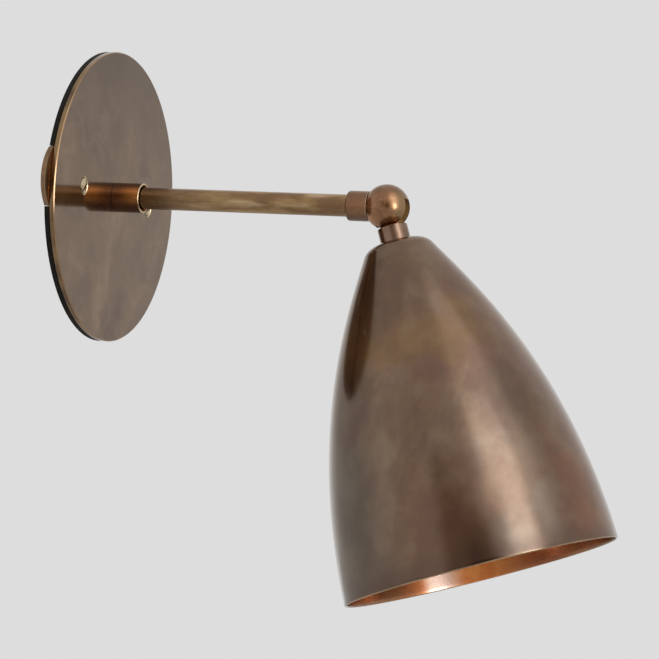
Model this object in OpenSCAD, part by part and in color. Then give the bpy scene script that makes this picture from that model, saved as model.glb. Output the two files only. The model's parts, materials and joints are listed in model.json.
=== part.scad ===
// Wall-mounted picture light: a round wall plate, a straight arm, a slotted swivel ball
// and a spun brass shade around a medium-base lampholder.
// Millimetres, +Z up. The wall is the plane y = 0 and the arm points along -Y.

/* [Wall plate] */
// Diameter of the wall plate
plate_d = 127; // [118:0.5:130]
// Thickness of the wall plate
plate_t = 2.5; // [2.4:0.1:4]
// Thickness of the gasket and of the mounting strap behind the plate
back_t = 2; // [1.9:0.1:3]
// Inner diameter of the gasket
gasket_inner_d = 100; // [99.5:0.5:104]
// Distance between the two plate screws
plate_screw_spacing = 69.85; // [68:0.05:72]
// Head diameter of the plate screws
plate_screw_head_d = 7; // [6.8:0.1:7.3]
// Diameter of the countersinks that the plate screws sit in
plate_sink_d = 8; // [7.8:0.1:8.4]

/* [Mounting strap] */
// Length of the mounting strap over its round ends
strap_l = 136; // [134:1:142]
// Width of the mounting strap
strap_w = 25; // [20:0.5:27]
// Radius of the strap's rounded ends
strap_end_r = 16.4; // [14:0.1:18]
// Distance between the two wall-box screw holes
box_hole_spacing = 88.9; // [88:0.1:90]
// Diameter of the wall-box screw holes
box_hole_d = 5; // [4.6:0.1:5.4]
// Depth of the countersink on the front of each wall-box screw hole
box_sink = 1.6; // [1:0.1:1.7]

/* [Arm] */
// Length of the base collar in front of the plate
base_collar_l = 12.9; // [12:0.1:20]
// Diameter of both arm collars
collar_d = 13; // [12.8:0.1:14]
// Outer diameter of the arm tube
tube_d = 9.525; // [9.4:0.025:9.6]
// Wall of the arm tube
tube_wall = 0.9; // [0.7:0.1:1.1]
// Distance from the plate's front to the start of the end collar
end_collar_at = 107.7; // [80:0.1:160]
// Distance from the start of the end collar to the ball's centre
end_collar_to_ball = 17; // [16.9:0.1:17.5]

/* [Swivel] */
// Diameter of the swivel ball
ball_d = 19.4; // [19.3:0.1:19.7]
// Lean of the head outwards from hanging straight down, as built
head_tilt = 19.3; // [0:0.1:60]
// Half width of the slot that the tongue turns in
slot_half = 3.35; // [3.3:0.01:3.4]
// Diameter of the neck collar between the ball and the shade
neck_d = 12.9; // [12.6:0.1:13.2]
// Distance from the ball's centre to the neck collar's upper rim
neck_rim_s = 8.9; // [8.8:0.1:9.2]

/* [Shade] */
// Distance from the ball's centre to the top of the shade
crown_s = 16.2; // [16:0.1:16.6]
// Radius of the flat top of the shade
crown_flat_r = 9; // [9:0.1:9.5]
// Radius of the rounded shoulder
shoulder_r = 7; // [6.5:0.1:7.5]
// Outer radius of the open end of the shade
mouth_r = 58; // [55:0.1:62]
// Distance from the ball's centre to the open end of the shade
mouth_s = 159.1; // [150:0.1:175]
// Widening of the flank just under the shoulder, radius over length
flank_slope_top = 0.58; // [0.55:0.01:0.65]
// Widening of the flank at the open end, radius over length
flank_slope_mouth = 0.03; // [0:0.01:0.08]
// Length over which the flank keeps its upper direction
flank_pull_top = 21; // [15:1:27]
// Length over which the flank keeps its lower direction
flank_pull_mouth = 75; // [70:1:85]
// Thickness of the spun brass
shade_wall = 1; // [0.8:0.1:1.2]

/* [Lampholder] */
// Outer diameter of the lampholder body
holder_d = 34; // [33:0.5:35]
// Length of the lampholder body
holder_l = 37; // [36:1:40]
// Inner radius of the screw shell, to the crests of its thread
shell_r = 13.15; // [13.1:0.05:13.2]
// Depth of the screw shell
shell_l = 24; // [22:1:25]

/* [Hidden] */

$fn = 64;
hex = 6;
eps = 0.01;            // how far a cutter runs past the face it opens
through = 40;          // a cutter longer than any piece it crosses

plate_r = plate_d / 2;
plate_edge = 0.4;      // bevel round the plate's front and rear edges
plate_front = back_t + plate_t;

thread_r = 4.85;       // hollow threaded nipples, 10 mm nominal
thread_bore_r = 3.4;
thread_gap = 0.05;     // radial room between a threaded pair
nut_flats = 14;
nut_r = nut_flats / 2 / cos(180 / hex);

strap_hub_r = 16;      // wider round middle of the strap
strap_hub_hole_r = 9.5;
strap_slot_gap = 0.3;  // room between the strap's side and a gasket half

screw_r = 2.05;        // shank of the plate screws and of the ground screw
screw_hole_r = 2.1;
screw_l = 12.7;
sink_h = 2.25;         // depth of the plate's countersinks
sink_slope = (plate_sink_d / 2 - screw_hole_r) / sink_h;
head_rim_drop = 0.25;  // a plate screw's rim below the plate's front
head_dome_h = 1.1;
head_seat_gap = 0.12;  // room round a sunk head
slot_w = 1;
slot_depth = 1;
plate_screw_turns = [62, 35];   // which way each driver slot points

ground_at = -21;       // along the strap from its middle
ground_head_r = 3.9;
ground_head_h = 2.4;

nipple_rear = 14;      // how far the base nipple reaches into the wall box
nipple_in_collar = 6;
toothed_washer_t = 0.8;
toothed_washer_r = 8;
tooth_count = 12;
tooth_gap = 1.4;
base_nut_t = 3.5;
bushing_flange_r = 5.8;
bushing_flange_t = 1.5;
bushing_spigot = 5;
bushing_bore_r = 2.6;

tube_r = tube_d / 2;
tube_bore_r = tube_r - tube_wall;
tube_fit = 0.03;       // radial room for solder between tube and collar
tube_start = 6.8;      // distances along the arm are from the plate's front
tube_end = end_collar_at + 2;
collar_r = collar_d / 2;
collar_edge = 1;       // rounding of the end collar towards the tube
base_edge = 0.25;
base_lip = 0.7;        // wall of the base collar round its recessed mouth
base_recess = 2.4;

ball_r = ball_d / 2;
ball_at = end_collar_at + end_collar_to_ball;
ball_gap = 0.2;        // room between the ball and either cup round it
web_start = end_collar_at + 4.9;
stud_r = 3.2;
stud_bore_r = 2.3;
stud_gap = 0.05;
stud_start = tube_end + 0.3;
stud_end = ball_at - 6.7;
spring_washer_t = 0.4;
swivel_nut_t = 1.8;
swivel_nut_r = 4.5;

swivel_limit = 165;    // turn of the ball each way about the arm
stop_pin_r = 0.7;
stop_pin_at_r = 5;
stop_pin_start = ball_at - 10.7;
stop_pin_end = ball_at - 6.4;
stop_groove_half_w = 0.85;
stop_groove_start = stop_pin_start - 0.3;
stop_groove_half_angle = swivel_limit + asin(stop_pin_r / stop_pin_at_r) + 0.5;

eye_r = 6.3;
eye_half_t = 2.75;
eye_room_r = 6.6;      // cavity in the ball that the eye turns in
slot_end = 3.6;        // where the slot stops, above and behind the pivot
pivot_r = 1.5;
pivot_hole_r = 1.55;
pivot_reach = 2;       // the pivot screws' inner ends, from the middle of the ball
pivot_shoulder = 3.4;
pivot_body_r = 2;
friction_washer_r = 5;
friction_washer_t = 0.5;
friction_washer_gap = 0.05;

stem_r = 3.175;
stem_start = 5.5;      // the stem leaves the eye clear of the friction washers
stem_end = 12;
stem_bore_r = 1.9;
neck_r = neck_d / 2;
neck_cup_gap = 0.3;
neck_step_s = 12.2;    // where the stem's hole gives way to the nipple's
neck_edge = 0.3;

lead_r = 0.88;         // one insulated conductor
lead_offset = 0.92;    // conductor centres from the lead's middle line

washer_t = 1;
crown_washer_r = 8.5;
crown_nut_t = 3;
crown_inner_s = crown_s + shade_wall;
crown_nut_s = crown_inner_s + washer_t;
cap_s = crown_nut_s + crown_nut_t + 0.3;
cap_boss_l = 3.6;
cap_boss_r = 8;
cap_l = 9;
cap_wall = 1.4;
cap_hollow_s = cap_s + cap_boss_l + cap_wall;
neck_nipple_end_s = cap_s + cap_boss_l;
holder_s = cap_s + cap_l;
holder_r = holder_d / 2;
holder_floor = holder_l - shell_l - 7.5;
holder_lip = 3;        // body left past the screw shell's mouth
shell_wall = 0.4;
shell_s = holder_s + holder_l - holder_lip - shell_l;
contact_w = 7;
contact_t = 0.5;
contact_rise = 3.5;
terminal_at = 9;
terminal_r = 1.5;
terminal_head_r = 2.6;
terminal_head_h = 1.8;
terminal_sunk = 4;
terminal_gap = 0.2;    // between a conductor and its terminal's head
lead_turn_s = cap_hollow_s + lead_r + 0.1;   // where the conductors turn towards the terminals

curve_steps = 28;
arc_steps = 8;

// ---- frames ----

// Local +Z runs forward from a plane the given distance in front of the wall
module from_wall(d)
    translate([0, -d, 0]) rotate([90, 0, 0]) children();

// Local +Z runs forward along the arm from the given distance in front of the plate
module on_arm(a)
    from_wall(plate_front + a) children();

// Local +Z runs down the head's axis from the given distance beyond the ball's centre
module on_head(s)
    translate([0, -plate_front - ball_at, 0]) rotate([180 - head_tilt, 0, 0])
        translate([0, 0, s]) children();

// ---- shapes that repeat ----

module tube(outer_r, inner_r, l) {
    difference() {
        cylinder(r = outer_r, h = l);
        translate([0, 0, -eps]) cylinder(r = inner_r, h = l + 2 * eps);
    }
}

module hex_nut(across_r, hole_r, l) {
    difference() {
        cylinder(r = across_r, h = l, $fn = hex);
        translate([0, 0, -eps]) cylinder(r = hole_r, h = l + 2 * eps);
    }
}

// Two conductors side by side along local X
module lead_pair(l) {
    for (side = [-1, 1])
        translate([side * lead_offset, 0, 0]) cylinder(r = lead_r, h = l);
}

function arc_points(centre, r, from, to, steps) = [
    for (i = [0:steps]) let (a = from + (to - from) * i / steps)
        [centre[0] + r * cos(a), centre[1] + r * sin(a)]
];

function bezier(p, t) =
    pow(1 - t, 3) * p[0] + 3 * pow(1 - t, 2) * t * p[1] + 3 * (1 - t) * t * t * p[2] + pow(t, 3) * p[3];

function bezier_slope(p, t) =
    3 * pow(1 - t, 2) * (p[1] - p[0]) + 6 * (1 - t) * t * (p[2] - p[1]) + 3 * t * t * (p[3] - p[2]);

// ---- wall side ----

// Level bar with ends cut to a larger round than its half width, and a round hub
module strap_outline() {
    end_at = strap_l / 2 - strap_end_r;
    intersection() {
        square([strap_l, strap_w], center = true);
        union() {
            square([2 * end_at, strap_w], center = true);
            for (side = [-1, 1])
                translate([side * end_at, 0]) circle(r = strap_end_r);
        }
    }
    circle(r = strap_hub_r);
}

module mounting_strap() {
    color("darkgoldenrod") from_wall(0) difference() {
        linear_extrude(height = back_t) strap_outline();
        translate([0, 0, -eps]) cylinder(r = strap_hub_hole_r, h = back_t + 2 * eps);
        for (side = [-1, 1]) {
            translate([side * plate_screw_spacing / 2, 0, -eps])
                cylinder(r = screw_hole_r, h = back_t + 2 * eps);
            translate([side * box_hole_spacing / 2, 0, 0]) {
                translate([0, 0, -eps]) cylinder(d = box_hole_d, h = back_t + 2 * eps);
                translate([0, 0, back_t - box_sink])
                    cylinder(r1 = box_hole_d / 2, r2 = box_hole_d / 2 + box_sink, h = box_sink + eps);
            }
        }
        translate([ground_at, 0, -eps]) cylinder(r = screw_hole_r, h = back_t + 2 * eps);
    }
}

module gasket_halves() {
    color("darkslategray") from_wall(0) difference() {
        cylinder(r = plate_r, h = back_t);
        translate([0, 0, -eps]) cylinder(d = gasket_inner_d, h = back_t + 2 * eps);
        translate([-plate_d, -strap_w / 2 - strap_slot_gap, -eps])
            cube([2 * plate_d, strap_w + 2 * strap_slot_gap, back_t + 2 * eps]);
    }
}

module wall_plate() {
    color("rosybrown") from_wall(back_t) difference() {
        rotate_extrude() polygon([
            [0, 0], [plate_r - plate_edge, 0], [plate_r, plate_edge],
            [plate_r, plate_t - plate_edge], [plate_r - plate_edge, plate_t], [0, plate_t],
        ]);
        translate([0, 0, -eps]) cylinder(r = thread_r + thread_gap, h = plate_t + 2 * eps);
        for (side = [-1, 1])
            translate([side * plate_screw_spacing / 2, 0, 0]) {
                translate([0, 0, -eps]) cylinder(r = screw_hole_r, h = plate_t + 2 * eps);
                translate([0, 0, plate_t - sink_h])
                    cylinder(r1 = screw_hole_r, r2 = plate_sink_d / 2, h = sink_h + eps);
            }
    }
}

// Depth at which a head with room round it reaches a radius in the plate's countersink
function depth_in_sink(r) = (plate_sink_d / 2 - head_seat_gap - r) / sink_slope;

// Oval-head screw, the plate's front at z = 0 and its dome above
module plate_screw(turn) {
    head_r = plate_screw_head_d / 2;
    dome_r = (head_r * head_r + head_dome_h * head_dome_h) / (2 * head_dome_h);
    rim_angle = acos(head_r / dome_r);
    top = head_dome_h - head_rim_drop;
    difference() {
        rotate_extrude() polygon(concat(
            [
                [0, -screw_l], [screw_r, -screw_l], [screw_r, -depth_in_sink(screw_r)],
                [head_r, -depth_in_sink(head_r)]
            ],
            arc_points([0, top - dome_r], dome_r, rim_angle, 90, arc_steps)
        ));
        rotate([0, 0, turn]) translate([-plate_screw_head_d, -slot_w / 2, top - slot_depth])
            cube([2 * plate_screw_head_d, slot_w, slot_depth + eps]);
    }
}

module plate_screws() {
    color("gold") from_wall(plate_front) for (i = [0, 1])
        translate([(2 * i - 1) * plate_screw_spacing / 2, 0, 0])
            plate_screw(plate_screw_turns[i]);
}

module ground_screw() {
    color("green") from_wall(0) translate([ground_at, 0, 0]) {
        cylinder(r = screw_r, h = back_t - head_seat_gap);
        translate([0, 0, -ground_head_h]) difference() {
            cylinder(r = ground_head_r, h = ground_head_h);
            translate([-through / 2, -slot_w / 2, -eps]) cube([through, slot_w, slot_depth + eps]);
        }
    }
}

// ---- base of the arm ----

module base_nipple() {
    color("goldenrod") from_wall(-nipple_rear)
        tube(thread_r, thread_bore_r, nipple_rear + plate_front + nipple_in_collar);
}

module toothed_washer() {
    color("silver") from_wall(back_t - toothed_washer_t) difference() {
        tube(toothed_washer_r, thread_r + thread_gap, toothed_washer_t);
        for (i = [0:tooth_count - 1])
            rotate([0, 0, i * 360 / tooth_count]) translate([toothed_washer_r - tooth_gap, -tooth_gap / 2, -eps])
                cube([2 * tooth_gap, tooth_gap, toothed_washer_t + 2 * eps]);
    }
}

module base_nut() {
    color("goldenrod") from_wall(back_t - toothed_washer_t - base_nut_t)
        hex_nut(nut_r, thread_r + thread_gap, base_nut_t);
}

module lead_bushing() {
    color("black") from_wall(-nipple_rear) difference() {
        union() {
            translate([0, 0, -bushing_flange_t]) cylinder(r = bushing_flange_r, h = bushing_flange_t);
            cylinder(r = thread_bore_r - thread_gap, h = bushing_spigot);
        }
        translate([0, 0, -bushing_flange_t - eps])
            cylinder(r = bushing_bore_r, h = bushing_flange_t + bushing_spigot + 2 * eps);
    }
}

// Screws onto the nipple and holds the tube below a recessed mouth
module base_collar() {
    color("peru") on_arm(0) difference() {
        rotate_extrude() polygon([
            [0, 0], [collar_r, 0], [collar_r, base_collar_l - base_edge],
            [collar_r - base_edge, base_collar_l], [0, base_collar_l],
        ]);
        translate([0, 0, -eps]) cylinder(r = thread_r + thread_gap, h = nipple_in_collar + 0.3);
        translate([0, 0, nipple_in_collar])
            cylinder(r = tube_r + tube_fit, h = base_collar_l);
        translate([0, 0, base_collar_l - base_recess])
            cylinder(r = collar_r - base_lip, h = base_recess + eps);
    }
}

module arm_tube() {
    color("olive") on_arm(tube_start) tube(tube_r, tube_bore_r, tube_end - tube_start);
}

// Socket for the tube, room for the nut and spring washer, a web for the stud and a cup round the ball
module end_collar() {
    cup_r = ball_r + ball_gap;
    rim = end_collar_to_ball - sqrt(cup_r * cup_r - collar_r * collar_r);
    color("peru") on_arm(end_collar_at) difference() {
        rotate_extrude() polygon(concat(
            [[0, 0]],
            arc_points([collar_r - collar_edge, collar_edge], collar_edge, -90, 0, arc_steps),
            [[collar_r, rim], [0, rim]]
        ));
        translate([0, 0, end_collar_to_ball]) sphere(r = cup_r);
        translate([0, 0, -eps]) cylinder(r = tube_r + tube_fit, h = web_start - end_collar_at + eps);
        cylinder(r = stud_r + stud_gap, h = through);
        translate([0, 0, stop_groove_start - end_collar_at])
            rotate([0, 0, 90 - stop_groove_half_angle])
                rotate_extrude(angle = 2 * stop_groove_half_angle)
                    translate([stop_pin_at_r - stop_groove_half_w, 0])
                        square([2 * stop_groove_half_w, through]);
    }
}

module arm_leads() {
    start = -plate_front - nipple_rear - bushing_flange_t;
    color("ivory") on_arm(start) lead_pair(stud_end - start);
}

// ---- swivel ----

module swivel_stud() {
    color("goldenrod") on_arm(stud_start) tube(stud_r, stud_bore_r, stud_end - stud_start);
}

module swivel_nut() {
    color("goldenrod") on_arm(web_start - spring_washer_t - swivel_nut_t)
        tube(swivel_nut_r, stud_r + stud_gap, swivel_nut_t - eps);
}

module spring_washer() {
    color("silver") on_arm(web_start - spring_washer_t)
        tube(swivel_nut_r, stud_r + stud_gap, spring_washer_t - eps);
}

module stop_pin() {
    color("silver") on_arm(stop_pin_start) translate([0, stop_pin_at_r, 0])
        cylinder(r = stop_pin_r, h = stop_pin_end - stop_pin_start);
}

module swivel_ball() {
    color("chocolate") on_arm(ball_at) difference() {
        sphere(r = ball_r);
        rotate([0, 90, 0]) cylinder(r = eye_room_r, h = 2 * slot_half, center = true);
        // the slot opens to the front and to the bottom
        translate([-slot_half, -through, -slot_end])
            cube([2 * slot_half, through + slot_end, through + slot_end]);
        translate([0, 0, -through]) cylinder(r = stud_r + stud_gap, h = through);
        translate([0, stop_pin_at_r, stop_pin_start - ball_at])
            cylinder(r = stop_pin_r + thread_gap, h = stop_pin_end - stop_pin_start + thread_gap);
        rotate([0, 90, 0]) cylinder(r = pivot_body_r + thread_gap, h = through, center = true);
    }
}

// Each screw fills its hole out to the ball's surface; only the far one keeps its driver slot
module pivot_screw(slotted) {
    difference() {
        intersection() {
            union() {
                translate([0, 0, pivot_reach]) cylinder(r = pivot_r, h = pivot_shoulder);
                translate([0, 0, pivot_shoulder]) cylinder(r = pivot_body_r, h = ball_r);
            }
            sphere(r = ball_r);
        }
        if (slotted)
            translate([-through / 2, -slot_w / 2, ball_r - 2 * slot_depth])
                cube([through, slot_w, through]);
    }
}

module pivot_screws() {
    color("chocolate") on_arm(ball_at) {
        rotate([0, 90, 0]) pivot_screw(true);
        rotate([0, -90, 0]) pivot_screw(false);
    }
}

module friction_washers() {
    color("saddlebrown") on_arm(ball_at) for (side = [-1, 1])
        rotate([0, side * 90, 0]) translate([0, 0, eye_half_t + friction_washer_gap])
            tube(friction_washer_r, pivot_hole_r, friction_washer_t);
}

// Flat eye on the pivot and a hollow stem that screws into the neck collar
module swivel_tongue() {
    color("goldenrod") on_head(0) difference() {
        union() {
            rotate([0, 90, 0]) cylinder(r = eye_r, h = 2 * eye_half_t, center = true);
            translate([0, 0, stem_start]) cylinder(r = stem_r, h = stem_end - stem_start);
        }
        translate([0, 0, -through / 2]) cylinder(r = stem_bore_r, h = through);
        rotate([0, 90, 0]) cylinder(r = pivot_hole_r, h = through, center = true);
    }
}

module neck_collar() {
    color("rosybrown") on_head(0) difference() {
        rotate_extrude() polygon([
            [0, neck_rim_s], [neck_r - neck_edge, neck_rim_s], [neck_r, neck_rim_s + neck_edge],
            [neck_r, crown_s], [0, crown_s],
        ]);
        sphere(r = ball_r + neck_cup_gap);
        cylinder(r = stem_r + thread_gap, h = neck_step_s + eps);
        translate([0, 0, neck_step_s]) cylinder(r = thread_r + thread_gap, h = through);
    }
}

// ---- head ----

module neck_nipple() {
    start = neck_step_s + 0.2;
    color("goldenrod") on_head(start) tube(thread_r, thread_bore_r, neck_nipple_end_s - start);
}

// Outer outline of the shade from the crown's hole to the rim, as [radius, distance]
function shade_flank() = let (
    shoulder_turn = 90 - atan(flank_slope_top),
    start = [
        crown_flat_r + shoulder_r * sin(shoulder_turn),
        crown_s + shoulder_r * (1 - cos(shoulder_turn))
    ],
    end = [mouth_r, mouth_s]
) [
    start, start + flank_pull_top * [flank_slope_top, 1],
    end - flank_pull_mouth * [flank_slope_mouth, 1], end
];

function flank_point(p, t, inset) = let (d = bezier_slope(p, t))
    bezier(p, t) + inset * [-d[1], d[0]] / norm(d);

module shade() {
    p = shade_flank();
    hole_r = thread_r + thread_gap;
    turn = 90 - atan(flank_slope_top);
    centre = [crown_flat_r, crown_s + shoulder_r];
    outer = concat(
        arc_points(centre, shoulder_r, -90, turn - 90, arc_steps),
        [for (i = [1:curve_steps]) flank_point(p, i / curve_steps, 0)]
    );
    inner = concat(
        [for (i = [curve_steps:-1:1]) flank_point(p, i / curve_steps, shade_wall)],
        arc_points(centre, shoulder_r - shade_wall, turn - 90, -90, arc_steps)
    );
    color("rosybrown") on_head(0) rotate_extrude()
        polygon(concat([[hole_r, crown_s]], outer, inner, [[hole_r, crown_inner_s]]));
}

module crown_washer() {
    color("silver") on_head(crown_inner_s) tube(crown_washer_r, thread_r + thread_gap, washer_t);
}

module crown_nut() {
    color("goldenrod") on_head(crown_nut_s) hex_nut(nut_r, thread_r + thread_gap, crown_nut_t);
}

// Threaded boss and a bell that covers the terminals
module holder_cap() {
    mid = cap_hollow_s - cap_s;
    color("dimgray") on_head(cap_s) difference() {
        rotate_extrude() polygon([
            [0, 0], [cap_boss_r, 0], [holder_r - 2 * cap_wall, mid], [holder_r, cap_l - cap_wall],
            [holder_r, cap_l], [0, cap_l],
        ]);
        translate([0, 0, -eps]) cylinder(r = thread_r + thread_gap, h = cap_l);
        translate([0, 0, mid]) cylinder(r = holder_r - 3 * cap_wall, h = cap_l);
    }
}

module holder_body() {
    color("white") on_head(holder_s) difference() {
        rotate_extrude() polygon(concat(
            [[0, 0], [holder_r, 0]],
            arc_points([holder_r - collar_edge, holder_l - collar_edge], collar_edge, 0, 90, arc_steps),
            [[0, holder_l]]
        ));
        translate([0, 0, holder_floor]) cylinder(r = shell_r + shell_wall + thread_gap, h = holder_l);
        for (side = [-1, 1]) translate([side * terminal_at, 0, -eps])
            cylinder(r = terminal_r + thread_gap, h = terminal_sunk + thread_gap);
    }
}

module screw_shell() {
    color("gold") on_head(shell_s) tube(shell_r + shell_wall, shell_r, shell_l);
}

// Flat foot on the holder's floor with a tongue that stands up to meet the lamp
module centre_contact() {
    color("gold") on_head(holder_s + holder_floor) {
        translate([-contact_w / 2, -contact_w, 0]) cube([contact_w, 2 * contact_w, contact_t]);
        translate([-contact_w / 2, -contact_w, 0]) cube([contact_w, contact_t, contact_rise]);
        translate([-contact_w / 2, -contact_w, contact_rise - contact_t])
            cube([contact_w, 1.5 * contact_w, contact_t]);
    }
}

module terminal_screws() {
    color("gold") on_head(holder_s) for (side = [-1, 1])
        translate([side * terminal_at, 0, 0]) difference() {
            union() {
                cylinder(r = terminal_r, h = terminal_sunk);
                translate([0, 0, -terminal_head_h]) cylinder(r = terminal_head_r, h = terminal_head_h);
            }
            translate([-through / 2, -slot_w / 2, -terminal_head_h - eps])
                cube([through, slot_w, slot_depth / 2 + eps]);
        }
}

// Each conductor drops through the stem and the nipple, then turns out and down beside its terminal
module head_leads() {
    start = -eye_r + 1;
    out = terminal_at - terminal_head_r - lead_r - terminal_gap - lead_offset;
    color("ivory") {
        on_head(start) lead_pair(lead_turn_s - start);
        on_head(lead_turn_s) for (side = [-1, 1]) translate([side * lead_offset, 0, 0]) {
            sphere(r = lead_r);
            rotate([0, side * 90, 0]) cylinder(r = lead_r, h = out);
            translate([side * out, 0, 0]) {
                sphere(r = lead_r);
                cylinder(r = lead_r, h = holder_s - lead_turn_s);
            }
        }
    }
}

mounting_strap();
gasket_halves();
wall_plate();
plate_screws();
ground_screw();
base_nipple();
toothed_washer();
base_nut();
lead_bushing();
base_collar();
arm_tube();
end_collar();
arm_leads();
swivel_stud();
swivel_nut();
spring_washer();
stop_pin();
swivel_ball();
pivot_screws();
friction_washers();
swivel_tongue();
neck_collar();
neck_nipple();
shade();
crown_washer();
crown_nut();
holder_cap();
holder_body();
screw_shell();
centre_contact();
terminal_screws();
head_leads();
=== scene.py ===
"""Looks of the wall-mounted picture light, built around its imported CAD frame.

Metres, +Z up. The wall is the plane y = 0 and the arm points along -Y. The shade is an outline
of (radius, distance) pairs turned about the head's axis. Every other piece is the CAD node
itself with a procedural material.
"""

import json
import math

import bpy
from mathutils import Matrix, Vector


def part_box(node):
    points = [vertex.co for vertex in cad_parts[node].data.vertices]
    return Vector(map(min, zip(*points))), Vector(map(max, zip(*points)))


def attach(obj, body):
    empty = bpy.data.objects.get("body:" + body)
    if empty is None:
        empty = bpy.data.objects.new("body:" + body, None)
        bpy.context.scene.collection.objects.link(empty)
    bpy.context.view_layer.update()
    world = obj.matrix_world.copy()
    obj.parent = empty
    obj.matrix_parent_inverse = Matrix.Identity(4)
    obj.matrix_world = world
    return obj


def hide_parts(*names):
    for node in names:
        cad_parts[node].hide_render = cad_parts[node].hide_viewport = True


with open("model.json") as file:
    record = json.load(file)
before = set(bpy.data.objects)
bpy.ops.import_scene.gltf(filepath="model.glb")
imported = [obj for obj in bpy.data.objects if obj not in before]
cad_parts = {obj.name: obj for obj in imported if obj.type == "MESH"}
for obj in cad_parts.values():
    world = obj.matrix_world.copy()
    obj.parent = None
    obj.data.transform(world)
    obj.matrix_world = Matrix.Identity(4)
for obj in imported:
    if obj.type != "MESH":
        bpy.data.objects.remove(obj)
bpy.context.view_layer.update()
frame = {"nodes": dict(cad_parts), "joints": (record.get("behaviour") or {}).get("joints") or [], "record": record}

MM = 0.001
IMAGE_SIDE = 659

# ---- where things are, from the frame ----

joint_places = {j["name"]: Vector(j["pos_m"]) for j in frame["joints"]}
lamp_socket = next(m for m in frame["record"]["mounts"] if m["name"] == "lamp_socket")

plate_low, plate_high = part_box("wall_plate")
plate_radius = plate_high.x
plate_front = plate_low.y
base_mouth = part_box("base_collar")[0].y
ball_centre = joint_places["head_tilt"]
ball_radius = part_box("swivel_ball")[1].x
head_down = Vector(lamp_socket["axis"]).normalized()
head_lean = math.atan2(-head_down.y, -head_down.z)
shade_low, shade_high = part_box("shade")
mouth_radius = shade_high.x
mouth_at = (ball_centre.z - shade_low.z - mouth_radius * math.sin(head_lean)) / math.cos(head_lean)

# ---- frames for turned parts: local +Z runs along the part's axis ----

ARM_FRAME = Matrix.Translation((0, plate_front, 0)) @ Matrix.Rotation(math.pi / 2, 4, "X")
HEAD_FRAME = Matrix.Translation(ball_centre) @ Matrix.Rotation(math.pi - head_lean, 4, "X")


# ---- camera ----

VIEW_AZIMUTH = math.radians(-71.218)
VIEW_ELEVATION = math.radians(-4.0)
VIEW_ROLL = math.radians(4.428)
VIEW_DISTANCE = 1.03944
VIEW_ASIDE = 0.093593      # from the middle of the plate's front to the picture's, to the right
VIEW_BELOW = 0.058132      # and down
FOCAL_PIXELS = 2362.0
SENSOR_WIDTH = 36
NEAREST, FARTHEST = 0.01, 200


def make_camera():
    """Makes the scene's camera and returns the direction from the object back to it."""
    back = Vector((
        math.sin(VIEW_AZIMUTH) * math.cos(VIEW_ELEVATION),
        -math.cos(VIEW_AZIMUTH) * math.cos(VIEW_ELEVATION),
        math.sin(VIEW_ELEVATION),
    ))
    level = Vector((math.cos(VIEW_AZIMUTH), math.sin(VIEW_AZIMUTH), 0))
    upright = back.cross(level)
    right = level * math.cos(VIEW_ROLL) + upright * math.sin(VIEW_ROLL)
    up = back.cross(right)
    data = bpy.data.cameras.new("camera")
    data.sensor_width = SENSOR_WIDTH
    data.lens = FOCAL_PIXELS / IMAGE_SIDE * data.sensor_width
    data.clip_start, data.clip_end = NEAREST, FARTHEST
    camera = bpy.data.objects.new("camera", data)
    bpy.context.scene.collection.objects.link(camera)
    turn = Matrix((right, up, back)).transposed().to_4x4()
    aim = Vector((0, plate_front, 0)) + right * VIEW_ASIDE - up * VIEW_BELOW
    camera.matrix_world = Matrix.Translation(aim + back * VIEW_DISTANCE) @ turn
    bpy.context.scene.camera = camera
    return back


view_back = make_camera()


# ---- shader building ----

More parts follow.
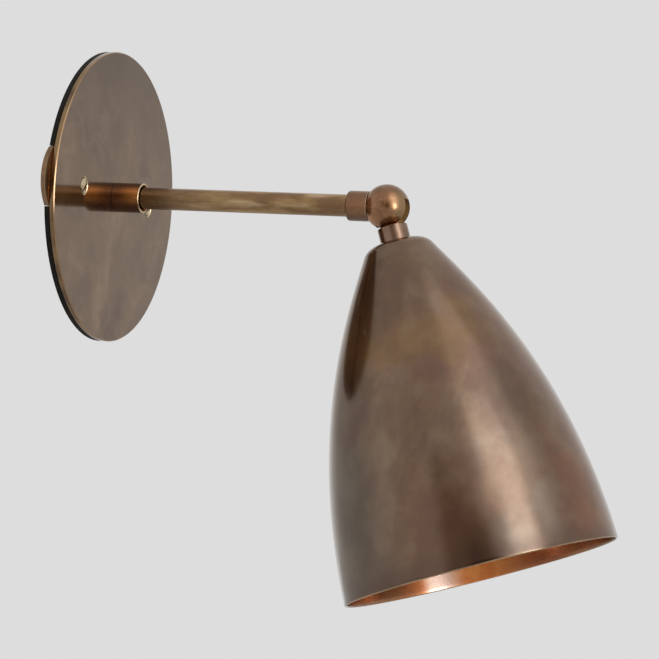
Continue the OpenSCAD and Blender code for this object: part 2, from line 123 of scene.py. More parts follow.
class Shader:
    """A node tree with short names for the nodes that the materials here share."""

    def __init__(self, tree):
        self.tree = tree
        self.tree.nodes.clear()

    def node(self, kind, **settings):
        n = self.tree.nodes.new(kind)
        for name, value in settings.items():
            setattr(n, name, value)
        return n

    def put(self, socket, value):
        if isinstance(value, bpy.types.NodeSocket):
            self.tree.links.new(value, socket)
        else:
            socket.default_value = value

    def math(self, operation, a, b=0.0):
        n = self.node("ShaderNodeMath", operation=operation)
        self.put(n.inputs[0], a)
        self.put(n.inputs[1], b)
        return n.outputs[0]

    def product(self, first, *others):
        for other in others:
            first = self.math("MULTIPLY", first, other)
        return first

    def length(self, a, b):
        """Length of the vector with two parts."""
        squares = self.math("ADD", self.product(a, a), self.product(b, b))
        return self.math("SQRT", squares)

    def blend(self, amount, a, b):
        """A value from a, at 0, to b, at 1."""
        rest = self.math("SUBTRACT", 1.0, amount)
        return self.math("ADD", self.product(a, rest), self.product(amount, b))

    def vector(self, operation, a, b=(0, 0, 0)):
        n = self.node("ShaderNodeVectorMath", operation=operation)
        self.put(n.inputs[0], a)
        self.put(n.inputs[1], b)
        return n.outputs["Value" if operation in ("DOT_PRODUCT", "LENGTH") else "Vector"]

    def split(self, vector):
        n = self.node("ShaderNodeSeparateXYZ")
        self.put(n.inputs[0], vector)
        return n.outputs

    def place(self):
        return self.node("ShaderNodeTexCoord").outputs["Object"]

    def noise(self, vector, scale, detail=3.0, roughness=0.55, distortion=0.0):
        n = self.node("ShaderNodeTexNoise")
        self.put(n.inputs["Vector"], vector)
        n.inputs["Scale"].default_value = scale
        n.inputs["Detail"].default_value = detail
        n.inputs["Roughness"].default_value = roughness
        n.inputs["Distortion"].default_value = distortion
        return n.outputs["Fac"]

    def line_noise(self, along, scale, detail):
        n = self.node("ShaderNodeTexNoise", noise_dimensions="1D")
        self.put(n.inputs["W"], along)
        n.inputs["Scale"].default_value = scale
        n.inputs["Detail"].default_value = detail
        return n.outputs["Fac"]

    def cells(self, vector, scale):
        n = self.node("ShaderNodeTexVoronoi")
        self.put(n.inputs["Vector"], vector)
        n.inputs["Scale"].default_value = scale
        return n.outputs["Distance"]

    def ramp(self, value, start, end, to_start=0.0, to_end=1.0):
        """Smooth step from to_start, where the value is start, to to_end, where it is end."""
        n = self.node("ShaderNodeMapRange", interpolation_type="SMOOTHSTEP")
        for socket, v in zip(n.inputs, (value, start, end, to_start, to_end)):
            self.put(socket, v)
        return n.outputs[0]

    def band(self, value, start, full, fade, end):
        """0 up to start, 1 from full to fade, and 0 again from end."""
        return self.product(self.ramp(value, start, full), self.ramp(value, end, fade))

    def mix(self, amount, a, b):
        n = self.node("ShaderNodeMix", data_type="RGBA", blend_type="MIX")
        self.put(n.inputs[0], amount)
        self.put(n.inputs[6], a if isinstance(a, bpy.types.NodeSocket) else (*a, 1))
        self.put(n.inputs[7], b if isinstance(b, bpy.types.NodeSocket) else (*b, 1))
        return n.outputs[2]

    def bump(self, height, depth, normal=None):
        """Bump whose height of 1 is the given depth in metres."""
        n = self.node("ShaderNodeBump")
        n.inputs["Strength"].default_value = 1
        n.inputs["Distance"].default_value = depth
        self.put(n.inputs["Height"], height)
        if normal:
            self.put(n.inputs["Normal"], normal)
        return n.outputs[0]

    def worn_edges(self, radius):
        """1 on the outside edges of the mesh and 0 on its faces."""
        bevel = self.node("ShaderNodeBevel", samples=6)
        bevel.inputs["Radius"].default_value = radius
        flat = self.node("ShaderNodeNewGeometry").outputs["Normal"]
        likeness = self.vector("DOT_PRODUCT", bevel.outputs[0], flat)
        return self.ramp(self.math("SUBTRACT", 1.0, likeness), 0.02, 0.12)

    def surface(self, **inputs):
        n = self.node("ShaderNodeBsdfPrincipled")
        for name, value in inputs.items():
            socket = n.inputs[name.replace("_", " ")]
            if socket.type == "RGBA" and not isinstance(value, bpy.types.NodeSocket):
                value = (*value, 1)
            self.put(socket, value)
        out = self.node("ShaderNodeOutputMaterial")
        self.tree.links.new(n.outputs[0], out.inputs[0])


def new_material(name):
    material = bpy.data.materials.new(name)
    material.use_nodes = True
    return material, Shader(material.node_tree)


# ---- world, floor ----

BACKDROP = (0.723, 0.723, 0.723)       # the pale grey behind the object
# Each zone is (left, right, bottom, top, softness), in degrees from the camera's side and from
# the level. A later zone covers the ones before it.
LAMPS = [
    ((-146, 146, -90, 90, 36), (0.61, 0.61, 0.61)),
    ((-148, -92, -40, 60, 30), (0.44, 0.45, 0.45)),
    ((-32, 6, -50, 26, 12), (0.31, 0.27, 0.23)),
    ((-12, 12, -40, 13, 10), (0.10, 0.085, 0.075)),
    ((5, 68, 28, 72, 30), (1.12, 1.12, 1.12)),
    ((10, 40, 30, 48, 12), (1.9, 1.85, 1.75)),
    ((22, 46, 4, 48, 14), (2.2, 2.2, 2.2)),
    ((31, 46, -14, 12, 8), (6.2, 6.2, 6.1)),
]
FLOOR_DROP = 1.3                       # how far the floor is below the arm
FLOOR_SIDE = 14
FLOOR_TONES = ((0.61, 0.61, 0.61), (0.63, 0.63, 0.63))
FLOOR_GRAIN = 40


def make_world():
    """Pale studio: a tall window to the camera's right, a glow over it, a dim stretch in front."""
    world = bpy.data.worlds.new("studio")
    world.use_nodes = True
    bpy.context.scene.world = world
    s = Shader(world.node_tree)
    way = s.node("ShaderNodeTexCoord").outputs["Generated"]
    ahead = Vector((view_back.x, view_back.y, 0)).normalized()
    aside = Vector((-ahead.y, ahead.x, 0))
    to_side = s.vector("DOT_PRODUCT", way, tuple(aside))
    to_front = s.vector("DOT_PRODUCT", way, tuple(ahead))
    bearing = s.math("ARCTAN2", to_side, to_front)
    height = s.math("ARCSINE", s.vector("DOT_PRODUCT", way, (0, 0, 1)))

    def zone(left, right, bottom, top, soft):
        """1 inside a range of bearings and of heights, with soft borders."""
        factors = []
        for value, low, high in ((bearing, left, right), (height, bottom, top)):
            inner, outer = (math.radians(low + soft / 2), math.radians(low - soft / 2))
            factors.append(s.ramp(value, outer, inner))
            inner, outer = (math.radians(high - soft / 2), math.radians(high + soft / 2))
            factors.append(s.ramp(value, inner, outer, 1.0, 0.0))
        return s.product(*factors)

    colour = BACKDROP
    for borders, light in LAMPS:
        colour = s.mix(zone(*borders), colour, light)
    background = s.node("ShaderNodeBackground")
    s.put(background.inputs[0], colour)
    out = s.node("ShaderNodeOutputWorld")
    s.tree.links.new(background.outputs[0], out.inputs[0])


def make_floor():
    half = FLOOR_SIDE / 2
    corners = [(x * half, y * half, -FLOOR_DROP) for x, y in ((-1, -1), (1, -1), (1, 1), (-1, 1))]
    mesh = bpy.data.meshes.new("floor")
    mesh.from_pydata(corners, [], [(0, 1, 2, 3)])
    floor = bpy.data.objects.new("floor", mesh)
    bpy.context.scene.collection.objects.link(floor)
    material, s = new_material("floor_paint")
    s.surface(Base_Color=s.mix(s.noise(s.place(), FLOOR_GRAIN), *FLOOR_TONES), Roughness=0.9)
    mesh.materials.append(material)


bpy.context.scene.view_settings.view_transform = "Standard"
make_world()
make_floor()


# ---- metals ----

SMUDGES, MOTTLE = 2.4, 7               # noise scales, against the clouds' own
GRAIN = 2600                           # noise scales per metre, from here on
SPECKS, SPECK_PATCHES = 420, 110
RUBBING = 300
TURNING_LINES, LINES_ON_FACES = 2400, 0.7
WAVES = 26
FINE_BUMP = 0.004 * MM
WAX_TINT = (0.7, 0.62, 0.55)


def turned_coordinates(s, turned_about):
    """Distances along and from a turned part's axis, and the share of the latter to local +Y."""
    to_local = turned_about.inverted()
    place = s.place()
    rows = [to_local[i] for i in range(3)]
    x, y, z = (s.math("ADD", s.vector("DOT_PRODUCT", place, tuple(row[:3])), row[3])
               for row in rows)
    radius = s.length(x, y)
    return z, radius, s.math("DIVIDE", y, radius)


def bronze(name, dark, mid, light, gloss=0.22, cloud=28, stretch=(1, 1, 1), turned_about=None,
           lines=0.0, wear=(0.55, 0.36, 0.17), wear_radius=0.5 * MM, coat_gloss=0.1, coat_ior=1.5,
           waves=0.0, brushed=0.0, more=None):
    """Patinated brass under wax: clouds of three tones, dark specks, turning lines, worn edges.

    `more(shader, place, tone, rough)` may change the tone and roughness in places of its own.
    """
    material, s = new_material(name)
    place = s.place()
    drawn = s.vector("MULTIPLY", place, stretch)
    clouds = s.noise(drawn, cloud, 4, 0.6, 0.6)
    smudges = s.noise(drawn, cloud * SMUDGES, 3, 0.6, 0.5)
    mottle = s.noise(drawn, cloud * MOTTLE, 5, 0.65, 0.3)
    grain = s.noise(drawn, GRAIN, 2, 0.6)
    tone = s.mix(s.ramp(clouds, 0.34, 0.5), dark, mid)
    tone = s.mix(s.ramp(clouds, 0.52, 0.68), tone, light)
    tone = s.mix(s.ramp(smudges, 0.52, 0.66, 0.0, 0.5), tone, light)
    tone = s.mix(s.ramp(smudges, 0.46, 0.34, 0.0, 0.45), tone, dark)
    tone = s.mix(s.ramp(mottle, 0.35, 0.68, 0.0, 0.3), tone, dark)
    specks = s.ramp(s.cells(place, SPECKS), 0.07, 0.16, 1.0, 0.0)
    patches = s.ramp(s.noise(place, SPECK_PATCHES, 2), 0.56, 0.66)
    tone = s.mix(s.product(specks, patches, 0.6), tone, tuple(c * 0.35 for c in dark))
    rub = s.ramp(s.noise(place, RUBBING, 3), 0.3, 0.7, 0.45, 1.0)
    tone = s.mix(s.product(s.worn_edges(wear_radius), rub), tone, wear)
    rough = s.ramp(mottle, 0.25, 0.8, gloss * 0.8, gloss * 1.35)
    if more:
        tone, rough = more(s, place, tone, rough)
    height = s.product(grain, 0.25)
    if turned_about is not None:
        along, radius, _ = turned_coordinates(s, turned_about)
        across = s.math("ADD", along, s.product(radius, LINES_ON_FACES))
        turned = s.line_noise(across, TURNING_LINES, 3)
        height = s.math("ADD", height, s.product(turned, lines))
    normal = s.bump(height, FINE_BUMP)
    if waves:
        normal = s.bump(s.noise(place, WAVES, 1.5, 0.4), waves, normal)
    finish = {}
    if brushed:
        round_axis = s.node("ShaderNodeTangent", direction_type="RADIAL", axis="Y")
        finish = {"Anisotropic": brushed, "Tangent": round_axis.outputs[0]}
    s.surface(Base_Color=tone, Metallic=1.0, Roughness=rough, Normal=normal,
              Specular_Tint=WAX_TINT, Coat_Weight=1.0, Coat_Roughness=coat_gloss,
              Coat_IOR=coat_ior, **finish)
    return material


SCREW_AT = 34.925 * MM                 # plate screws, from the arm's axis
SINK_RADIUS = 4.05 * MM
RAW_TONE = (0.80, 0.60, 0.32)
# painted shade: the colour that darkens the top of the plate
PLATE_TOP_SHADE_TONE = (0.09, 0.045, 0.02)
PLATE_LINE_TONE = (0.50, 0.29, 0.14)
PLATE_RIM_TONES = ((0.13, 0.065, 0.028), (0.32, 0.19, 0.075))


def plate_marks_and_shade(s, place, tone, rough):
    """Raw brass in the countersinks, a golden line along the edge, and painted shade darkening the top."""
    x, _, z = s.split(place)
    radius = s.length(x, z)
    off = s.length(s.math("SUBTRACT", s.math("ABSOLUTE", x), SCREW_AT), z)
    # painted shade: darker towards the top of the plate
    tone = s.mix(s.ramp(z, 20 * MM, 62 * MM, 0.0, 0.7), tone, PLATE_TOP_SHADE_TONE)
    line = s.ramp(radius, plate_radius - 0.36 * MM, plate_radius - 0.28 * MM)
    wavering = s.ramp(s.noise(place, 60, 3), 0.25, 0.6, 0.55, 1.0)
    tone = s.mix(s.product(line, wavering), tone, PLATE_LINE_TONE)
    rim = s.ramp(radius, plate_radius - 0.06 * MM, plate_radius - 0.03 * MM)
    tone = s.mix(rim, tone, s.mix(s.ramp(s.noise(place, 45, 3), 0.4, 0.6), *PLATE_RIM_TONES))
    sunk = s.ramp(off, SINK_RADIUS, SINK_RADIUS + 0.05 * MM, 1.0, 0.0)
    return s.mix(sunk, tone, RAW_TONE), rough


SLOT_HALF = 3.37 * MM                  # of the ball's slot
SLOT_TONE, SLOT_ROUGHNESS = (0.48, 0.32, 0.15), 0.5
BALL_ROOM_TONE = (0.36, 0.23, 0.10)
BALL_WALL_HIGHLIGHT_TONE = (0.64, 0.31, 0.14)
BALL_TOP_SHADE_TONE = (0.17, 0.075, 0.032)


def ball_marks_and_light(s, place, tone, rough):
    """Raw milled brass in the slot; golden to the room, a painted highlight towards the wall, painted shade on
    top.
    """
    x, y, z = s.split(place)
    to_room = s.ramp(y, ball_centre.y - 3 * MM, ball_centre.y - 8 * MM, 0.0, 0.7)
    tone = s.mix(to_room, tone, BALL_ROOM_TONE)
    # painted highlight: brighter towards the wall
    wall_highlight = s.ramp(y, ball_centre.y + 1 * MM, ball_centre.y + 7 * MM, 0.0, 0.85)
    tone = s.mix(wall_highlight, tone, BALL_WALL_HIGHLIGHT_TONE)
    # painted shade: darker on top of the ball
    tone = s.mix(s.ramp(z, 2 * MM, 8.5 * MM, 0.0, 0.55), tone, BALL_TOP_SHADE_TONE)
    narrow = s.math("LESS_THAN", s.math("ABSOLUTE", x), SLOT_HALF)
    depth = s.vector("LENGTH", s.vector("SUBTRACT", place, tuple(ball_centre)))
    slot = s.product(narrow, s.math("LESS_THAN", depth, ball_radius - 0.05 * MM))
    return s.mix(slot, tone, SLOT_TONE), s.blend(slot, rough, SLOT_ROUGHNESS)


# painted shade for the screws' driver slots
SCREW_SLOT_SHADE_TONE = (0.10, 0.06, 0.025)


def shaded_screw_slots(s, place, tone, rough):
    """Painted shade in the driver slots of the plate screws: what lies behind the plate's front is darkened."""
    # painted shade: darkens the screws behind the plate's front face, the slots' floors
    behind = s.ramp(s.split(place)[1], plate_front - 0.1 * MM, plate_front + 0.1 * MM)
    return s.mix(behind, tone, SCREW_SLOT_SHADE_TONE), rough


BASE_SIDE_HIGHLIGHT_TONE = (0.92, 0.38, 0.10)
BASE_SIDE_SHADE_TONE = (0.11, 0.042, 0.014)
BASE_NEAR_PLATE_TONE = (0.15, 0.05, 0.014)
BASE_SEAM_TONE = (0.05, 0.022, 0.01)
BASE_LIP_TONE = (0.80, 0.60, 0.36)


def base_marks_and_light(s, place, tone, rough):
    """A painted highlight along the collar's sides at mid-height and painted shade above and below it; darker
    towards the plate, a dark seam at the plate and a bright lip.
    """
    _, y, z = s.split(place)
    off = s.math("ABSOLUTE", s.math("SUBTRACT", z, 0.5 * MM))
    # painted highlight: a bright band at mid-height
    tone = s.mix(s.ramp(off, 1 * MM, 4.5 * MM, 0.85, 0.0), tone, BASE_SIDE_HIGHLIGHT_TONE)
    # painted shade: darker above and below that band
    tone = s.mix(s.ramp(off, 2.5 * MM, 5.5 * MM, 0.0, 0.9), tone, BASE_SIDE_SHADE_TONE)
    towards = s.ramp(y, base_mouth + 1 * MM, plate_front - 1 * MM, 0.0, 0.8)
    tone = s.mix(towards, tone, BASE_NEAR_PLATE_TONE)
    seam = s.ramp(y, plate_front - 0.5 * MM, plate_front - 0.2 * MM, 0.0, 0.8)
    tone = s.mix(seam, tone, BASE_SEAM_TONE)
    lip = s.ramp(y, base_mouth + 0.4 * MM, base_mouth + 0.2 * MM)
    return s.mix(lip, tone, BASE_LIP_TONE), rough


TUBE_PALE_TONE = (0.74, 0.52, 0.32)
TUBE_DARK_TONE = (0.20, 0.10, 0.04)
TUBE_PLATE_REFLECTION_TONE = (0.20, 0.095, 0.035)
SMEAR_STRETCH = (1, 0.22, 1)


def tube_marks_and_reflection(s, place, tone, rough):
    """The tube has long pale and dark smears, and a painted reflection of the dark plate makes it darker and
    redder next to the base collar.
    """
    smear = s.noise(s.vector("MULTIPLY", place, SMEAR_STRETCH), 190, 3, 0.55, 0.4)
    tone = s.mix(s.ramp(smear, 0.52, 0.7, 0.0, 0.55), tone, TUBE_PALE_TONE)
    tone = s.mix(s.ramp(smear, 0.46, 0.3, 0.0, 0.6), tone, TUBE_DARK_TONE)
    # painted reflection: darker and redder next to the base collar, where the plate is mirrored
    wander = s.product(s.math("SUBTRACT", s.noise(place, 120, 2), 0.5), 26 * MM)
    along = s.math("ADD", s.split(place)[1], wander)
    plate_reflection = s.ramp(along, base_mouth - 40 * MM, base_mouth - 8 * MM, 0.0, 0.75)
    return s.mix(plate_reflection, tone, TUBE_PLATE_REFLECTION_TONE), rough


END_TOP_SHADE_TONE = (0.12, 0.06, 0.03)
END_UNDER_SHADE_TONE = (0.09, 0.045, 0.022)


def end_collar_shade(s, place, tone, rough):
    """Painted shade: darker under the end collar and a little darker on top of it."""
    height = s.split(place)[2]
    # painted shade on the top and underside of the end collar
    tone = s.mix(s.ramp(height, 0.5 * MM, 5 * MM, 0.0, 0.4), tone, END_TOP_SHADE_TONE)
    return s.mix(s.ramp(height, -6.3 * MM, -1.5 * MM, 0.75, 0.0), tone, END_UNDER_SHADE_TONE), rough


INSIDE_HIGHLIGHT_TONE = (0.62, 0.46, 0.38)
SATIN_AND_LIGHT_TONES = ((0.90, 0.31, 0.085), (1.0, 0.43, 0.13))
SATIN_ROUGHNESS = 0.58
INSIDE_ROOM_SHADE_TONE = (0.30, 0.18, 0.09)
INSIDE_WALL_SHADE_TONE = (0.30, 0.16, 0.08)


def inside_marks_and_light(s, place, tone, rough):
    """The shade's inside has a pale stretch that is a painted highlight, a satin stretch whose bright orange is
    partly painted light, and painted shade to both sides.
    """
    roomward = turned_coordinates(s, HEAD_FRAME)[2]
    # painted highlight: a pale stretch inside the shade
    highlight_stretch = s.band(roomward, -0.68, -0.6, -0.44, -0.3)
    tone = s.mix(s.product(highlight_stretch, 0.85), tone, INSIDE_HIGHLIGHT_TONE)
    # satin finish, its bright orange tone partly painted light
    satin_and_light = s.band(roomward, -0.52, -0.34, -0.2, 0.28)
    streaks = s.ramp(s.noise(place, 120, 4, 0.6), 0.38, 0.62)
    tone = s.mix(s.product(satin_and_light, 0.92), tone, s.mix(streaks, *SATIN_AND_LIGHT_TONES))
    rough = s.blend(satin_and_light, rough, SATIN_ROUGHNESS)
    # painted shade to both sides of the inside
    tone = s.mix(s.ramp(roomward, 0.15, 0.85, 0.0, 0.75), tone, INSIDE_ROOM_SHADE_TONE)
    return s.mix(s.ramp(roomward, -0.7, -0.95, 0.0, 0.75), tone, INSIDE_WALL_SHADE_TONE), rough


OLIVE = (0.185, 0.132, 0.090)
RED = (0.21, 0.098, 0.052)
GOLD, GOLD_AT = (0.275, 0.148, 0.054), 62 * MM     # distances are from the ball's centre
MAUVE = (0.235, 0.115, 0.078)
BLOOM_AND_HIGHLIGHT = (0.26, 0.19, 0.138)
EMBER = (0.27, 0.105, 0.042)
HAZE_TONES = ((0.08, 0.035, 0.018), (0.34, 0.25, 0.17))
NEAR_LIP_SHADE_TONE = (0.125, 0.06, 0.034)
LIP_TONE = (0.56, 0.36, 0.18)
DRIFT, DRIFT_AT_LIP = 60 * MM, 0.3     # how far borders wander along the shade, and a share of it


def shade_marks_and_light(s, place, tone, rough):
    """Golden ring on the upper third, olive to the wall, red low down, a pale bloom to the room that is partly a
    painted highlight, and painted shade near the lip.
    """
    along, _, roomward = turned_coordinates(s, HEAD_FRAME)
    drift = s.product(s.math("SUBTRACT", s.noise(place, 22, 3), 0.5), DRIFT)
    low = s.math("ADD", along, drift)
    olive = s.product(s.ramp(roomward, -0.1, -0.7), s.ramp(low, 60 * MM, 120 * MM, 0.0, 0.9))
    tone = s.mix(olive, tone, OLIVE)
    red = s.product(s.ramp(roomward, -0.45, 0.1), s.ramp(low, 105 * MM, 145 * MM, 0.0, 0.7))
    tone = s.mix(red, tone, RED)
    off = s.math("ABSOLUTE", s.math("SUBTRACT", low, GOLD_AT))
    tone = s.mix(s.ramp(off, 3 * MM, 18 * MM, 0.8, 0.0), tone, GOLD)
    patches = s.ramp(s.noise(place, 30, 3), 0.5, 0.62)
    tone = s.mix(s.product(patches, s.ramp(low, 100 * MM, 75 * MM, 0.0, 0.7)), tone, MAUVE)
    # partly painted highlight: the pale bloom lies where the window is mirrored
    cloudy = s.ramp(s.noise(place, 34, 2, 0.5), 0.38, 0.58, 0.35, 1.0)
    bloom_and_highlight = s.product(s.band(roomward, 0.3, 0.5, 0.7, 0.86), s.ramp(low, 75 * MM, 100 * MM), cloudy)
    tone = s.mix(bloom_and_highlight, tone, BLOOM_AND_HIGHLIGHT)
    cloudy = s.ramp(s.noise(place, 60, 3), 0.4, 0.6, 0.2, 0.9)
    ember = s.product(s.ramp(roomward, 0.82, 0.93), s.ramp(low, 100 * MM, 125 * MM), cloudy)
    tone = s.mix(ember, tone, EMBER)
    haze = s.ramp(s.noise(place, 55, 4, 0.6), 0.36, 0.64, -0.2, 0.2)
    haze_tone = s.mix(s.math("GREATER_THAN", haze, 0.0), *HAZE_TONES)
    tone = s.mix(s.math("ABSOLUTE", haze), tone, haze_tone)
    # painted shade: darker over the last centimetre before the lip
    to_lip = s.math("ADD", along, s.product(drift, DRIFT_AT_LIP))
    near_lip = s.ramp(to_lip, mouth_at - 11 * MM, mouth_at - 2 * MM, 0.0, 0.55)
    tone = s.mix(near_lip, tone, NEAR_LIP_SHADE_TONE)
    wavering = s.ramp(s.noise(place, 50, 3), 0.3, 0.6, 0.4, 1.0)
    lip = s.product(s.ramp(along, mouth_at - 0.6 * MM, mouth_at - 0.3 * MM), wavering)
    return s.mix(lip, tone, LIP_TONE), rough


plate_bronze = bronze(
    "plate_patina_and_shade", (0.115, 0.055, 0.024), (0.20, 0.115, 0.054), (0.29, 0.185, 0.105),
    gloss=0.16, cloud=20, coat_gloss=0.07, coat_ior=1.54, more=plate_marks_and_shade)
tube_bronze = bronze(
    "tube_patina_and_reflection", (0.26, 0.13, 0.048), (0.45, 0.275, 0.105), (0.66, 0.45, 0.20),
    gloss=0.27, cloud=90, stretch=(1, 0.2, 1), coat_gloss=0.2, more=tube_marks_and_reflection)
# this material carries painted shade on the end collar's top and underside
collar_bronze = bronze(
    "collar_patina_and_shade", (0.20, 0.085, 0.035), (0.32, 0.14, 0.056), (0.41, 0.195, 0.08),
    gloss=0.22, cloud=70, turned_about=ARM_FRAME, lines=0.6, wear=(0.78, 0.56, 0.33),
    wear_radius=0.7 * MM, more=end_collar_shade)
base_bronze = bronze(
    "base_collar_patina_and_light", (0.30, 0.11, 0.03), (0.48, 0.19, 0.05), (0.60, 0.27, 0.08),
    gloss=0.3, cloud=70, turned_about=ARM_FRAME, lines=0.6, wear=(0.9, 0.72, 0.5),
    coat_gloss=0.2, brushed=0.3, more=base_marks_and_light)
ball_bronze = bronze(
    "ball_patina_and_light", (0.25, 0.105, 0.04), (0.38, 0.17, 0.068), (0.46, 0.225, 0.095),
    gloss=0.28, cloud=60, coat_gloss=0.17, coat_ior=1.52, more=ball_marks_and_light)
neck_bronze = bronze(
    "neck_patina", (0.18, 0.095, 0.055), (0.26, 0.145, 0.088), (0.33, 0.195, 0.125),
    gloss=0.24, cloud=90, turned_about=HEAD_FRAME, lines=0.6)
shade_bronze = bronze(
    "shade_patina_and_light", (0.140, 0.062, 0.030), (0.208, 0.112, 0.057), (0.265, 0.168, 0.100),
    gloss=0.18, cloud=22, stretch=(1, 1, 0.5), turned_about=HEAD_FRAME, lines=0.8,
    coat_gloss=0.13, coat_ior=1.56, waves=1 * MM, more=shade_marks_and_light)
shade_inside = bronze(
    "shade_inner_brass_and_light", (0.40, 0.12, 0.036), (0.58, 0.20, 0.064), (0.68, 0.27, 0.092),
    gloss=0.26, cloud=20, turned_about=HEAD_FRAME, lines=1.0, coat_gloss=0.12, more=inside_marks_and_light)
screw_brass = bronze(
    "screw_brass", (0.62, 0.48, 0.27), (0.80, 0.66, 0.42), (0.90, 0.78, 0.56),
    gloss=0.2, cloud=200, wear=(0.95, 0.85, 0.65), wear_radius=0.2 * MM, more=shaded_screw_slots)
strap_brass = bronze(
    "strap_patina", (0.16, 0.085, 0.038), (0.28, 0.155, 0.075), (0.38, 0.22, 0.11),
    gloss=0.3, cloud=60)
raw_brass = bronze(
    "raw_brass", (0.50, 0.34, 0.14), (0.70, 0.50, 0.24), (0.82, 0.64, 0.36),
    gloss=0.22, cloud=90, wear=(0.9, 0.72, 0.42))
zinc_steel = bronze(
    "zinc_plate", (0.42, 0.42, 0.41), (0.58, 0.58, 0.57), (0.70, 0.70, 0.70),
    gloss=0.3, cloud=120, wear=(0.85, 0.85, 0.85))


# ---- rubber, paint, mouldings, sleeves ----

def dull(name, dark, light, rough, scale, depth=0.02 * MM, coat=0.0, specular=0.5):
    """Moulded, painted or fired surface: clouds of two tones, uneven gloss and a fine grain."""
    material, s = new_material(name)
    place = s.place()
    tone = s.mix(s.ramp(s.noise(place, scale, 4, 0.6), 0.3, 0.7), dark, light)
    grain = s.noise(place, scale * 30, 3)
    uneven = s.noise(place, scale * 4, 3)
    rough_map = s.ramp(uneven, 0.2, 0.8, rough * 0.85, min(1.0, rough * 1.15))
    s.surface(Base_Color=tone, Roughness=rough_map, Normal=s.bump(grain, depth),
              Coat_Weight=coat, Specular_IOR_Level=specular)
    return material


black_rubber = dull("gasket_rubber", (0.004, 0.003, 0.0015), (0.012, 0.009, 0.005), 0.7, 60,
                    specular=0.25)
green_paint = dull("ground_green", (0.02, 0.16, 0.05), (0.05, 0.30, 0.10), 0.35, 200)
black_nylon = dull("bushing_nylon", (0.012, 0.012, 0.012), (0.03, 0.03, 0.03), 0.45, 150)
fibre = dull("washer_fibre", (0.20, 0.07, 0.04), (0.38, 0.15, 0.09), 0.8, 400)
dark_phenolic = dull("phenolic", (0.02, 0.016, 0.014), (0.045, 0.036, 0.03), 0.3, 80)
porcelain = dull("porcelain_glaze", (0.80, 0.78, 0.73), (0.88, 0.86, 0.81), 0.18, 40,
                 depth=0.01 * MM, coat=0.5)
lead_sleeve = dull("lead_sleeve", (0.70, 0.66, 0.56), (0.88, 0.85, 0.77), 0.7, 900,
                   depth=0.06 * MM)

CAD_LOOKS = {
    plate_bronze: ["wall_plate"],
    tube_bronze: ["arm_tube"],
    base_bronze: ["base_collar"],
    collar_bronze: ["end_collar"],
    ball_bronze: ["swivel_ball", "pivot_screws"],
    neck_bronze: ["neck_collar"],
    strap_brass: ["mounting_strap"],
    screw_brass: ["plate_screws"],
    raw_brass: ["base_nipple", "base_nut", "swivel_stud", "swivel_nut", "swivel_tongue",
                "neck_nipple", "crown_nut", "screw_shell", "centre_contact", "terminal_screws"],
    zinc_steel: ["toothed_washer", "spring_washer", "stop_pin", "crown_washer"],
    black_rubber: ["gasket_halves"],
    green_paint: ["ground_screw"],
    black_nylon: ["lead_bushing"],
    fibre: ["friction_washers"],
    dark_phenolic: ["holder_cap"],
    porcelain: ["holder_body"],
    lead_sleeve: ["arm_leads", "head_leads"],
}

for material, names in CAD_LOOKS.items():
    for name in names:
        for slot in frame["nodes"][name].material_slots:
            slot.material = material


# ---- shade ----

CROWN_AT = 16.2 * MM                   # top of the shade from the ball's centre
CROWN_FLAT = 9 * MM
CROWN_HOLE = 4.9 * MM
SHOULDER = 7 * MM
SHADE_WALL = 1 * MM
SLOPE_TOP, SLOPE_MOUTH = 0.58, 0.03    # of the flank, radius over distance
PULL_TOP, PULL_MOUTH = 21 * MM, 75 * MM
FLANK_STEPS, SHOULDER_STEPS, LIP_STEPS, TURN_STEPS = 120, 14, 10, 256
LIP_STEPS_OUTSIDE = 8                  # of the lip's, these have the outside's patina
SLOPE_STEP = 1e-3
SMOOTH_BELOW = math.radians(35)


def arc(centre, radius, start, end, steps):
    """Points on an arc of an outline, in degrees from the radius axis to the distance axis."""
    angles = (math.radians(start + (end - start) * i / steps) for i in range(steps + 1))
    return [(centre[0] + radius * math.cos(a), centre[1] + radius * math.sin(a)) for a in angles]


def bezier(p, t):
    u = 1 - t
    return p[0] * u ** 3 + p[1] * (3 * u * u * t) + p[2] * (3 * u * t * t) + p[3] * t ** 3


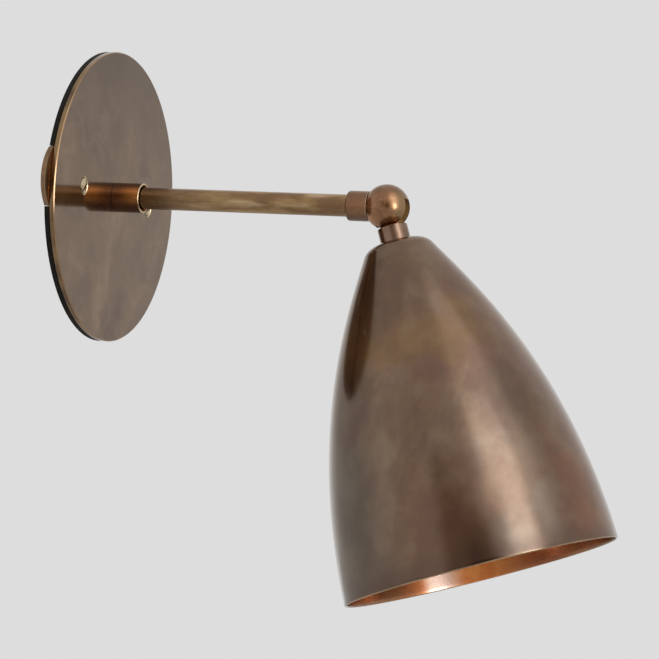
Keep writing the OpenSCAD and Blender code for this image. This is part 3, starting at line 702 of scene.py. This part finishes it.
def turn_outline(name, outline, place, materials, material_of):
    """Turns a closed outline of (radius, distance) points about local Z and puts it in place."""
    count = len(outline)
    vertices = []
    for i in range(TURN_STEPS):
        a = 2 * math.pi * i / TURN_STEPS
        vertices += [place @ Vector((r * math.cos(a), r * math.sin(a), z)) for r, z in outline]
    faces, kinds = [], []
    for i in range(TURN_STEPS):
        here, there = i * count, (i + 1) % TURN_STEPS * count
        for k in range(count):
            after = (k + 1) % count
            faces.append((here + k, there + k, there + after, here + after))
            kinds.append(material_of(k))
    mesh = bpy.data.meshes.new(name)
    mesh.from_pydata(vertices, [], faces)
    for m in materials:
        mesh.materials.append(m)
    mesh.polygons.foreach_set("material_index", kinds)
    mesh.polygons.foreach_set("use_smooth", [True] * len(faces))
    mesh.set_sharp_from_angle(angle=SMOOTH_BELOW)
    mesh.validate()
    piece = bpy.data.objects.new(name, mesh)
    bpy.context.scene.collection.objects.link(piece)
    return piece


def make_shade():
    """One closed shell: crown, rounded shoulder, flank, rounded lip, and the same back inside."""
    lean = math.degrees(math.atan(SLOPE_TOP))
    turn = math.radians(90 - lean)
    start = Vector((CROWN_FLAT + SHOULDER * math.sin(turn),
                    CROWN_AT + SHOULDER * (1 - math.cos(turn))))
    end = Vector((mouth_radius, mouth_at))
    p = [start, start + PULL_TOP * Vector((SLOPE_TOP, 1)),
         end - PULL_MOUTH * Vector((SLOPE_MOUTH, 1)), end]
    flank = [bezier(p, i / FLANK_STEPS) for i in range(1, FLANK_STEPS)]
    ahead = [bezier(p, i / FLANK_STEPS + SLOPE_STEP) for i in range(1, FLANK_STEPS)]
    inner = []
    for a, b in zip(flank, ahead):
        way = (b - a).normalized()
        inner.append(a + SHADE_WALL * Vector((-way.y, way.x)))
    lip = SHADE_WALL / 2
    rim = arc((mouth_radius - lip, mouth_at - lip), lip, 0, 180, LIP_STEPS)
    centre = (CROWN_FLAT, CROWN_AT + SHOULDER)
    outer = [(CROWN_HOLE, CROWN_AT)]
    outer += arc(centre, SHOULDER, -90, -lean, SHOULDER_STEPS) + [tuple(v) for v in flank]
    inside = [tuple(v) for v in reversed(inner)]
    inside += arc(centre, SHOULDER - SHADE_WALL, -lean, -90, SHOULDER_STEPS)
    inside.append((CROWN_HOLE, CROWN_AT + SHADE_WALL))
    outline = outer + rim + inside
    bare_from, bare_to = len(outer) + LIP_STEPS_OUTSIDE, len(outline) - 1
    shade = turn_outline("shade_shell", outline, HEAD_FRAME, [shade_bronze, shade_inside],
                         lambda k: 1 if bare_from <= k < bare_to else 0)
    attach(shade, "head")
    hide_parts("shade")


make_shade()
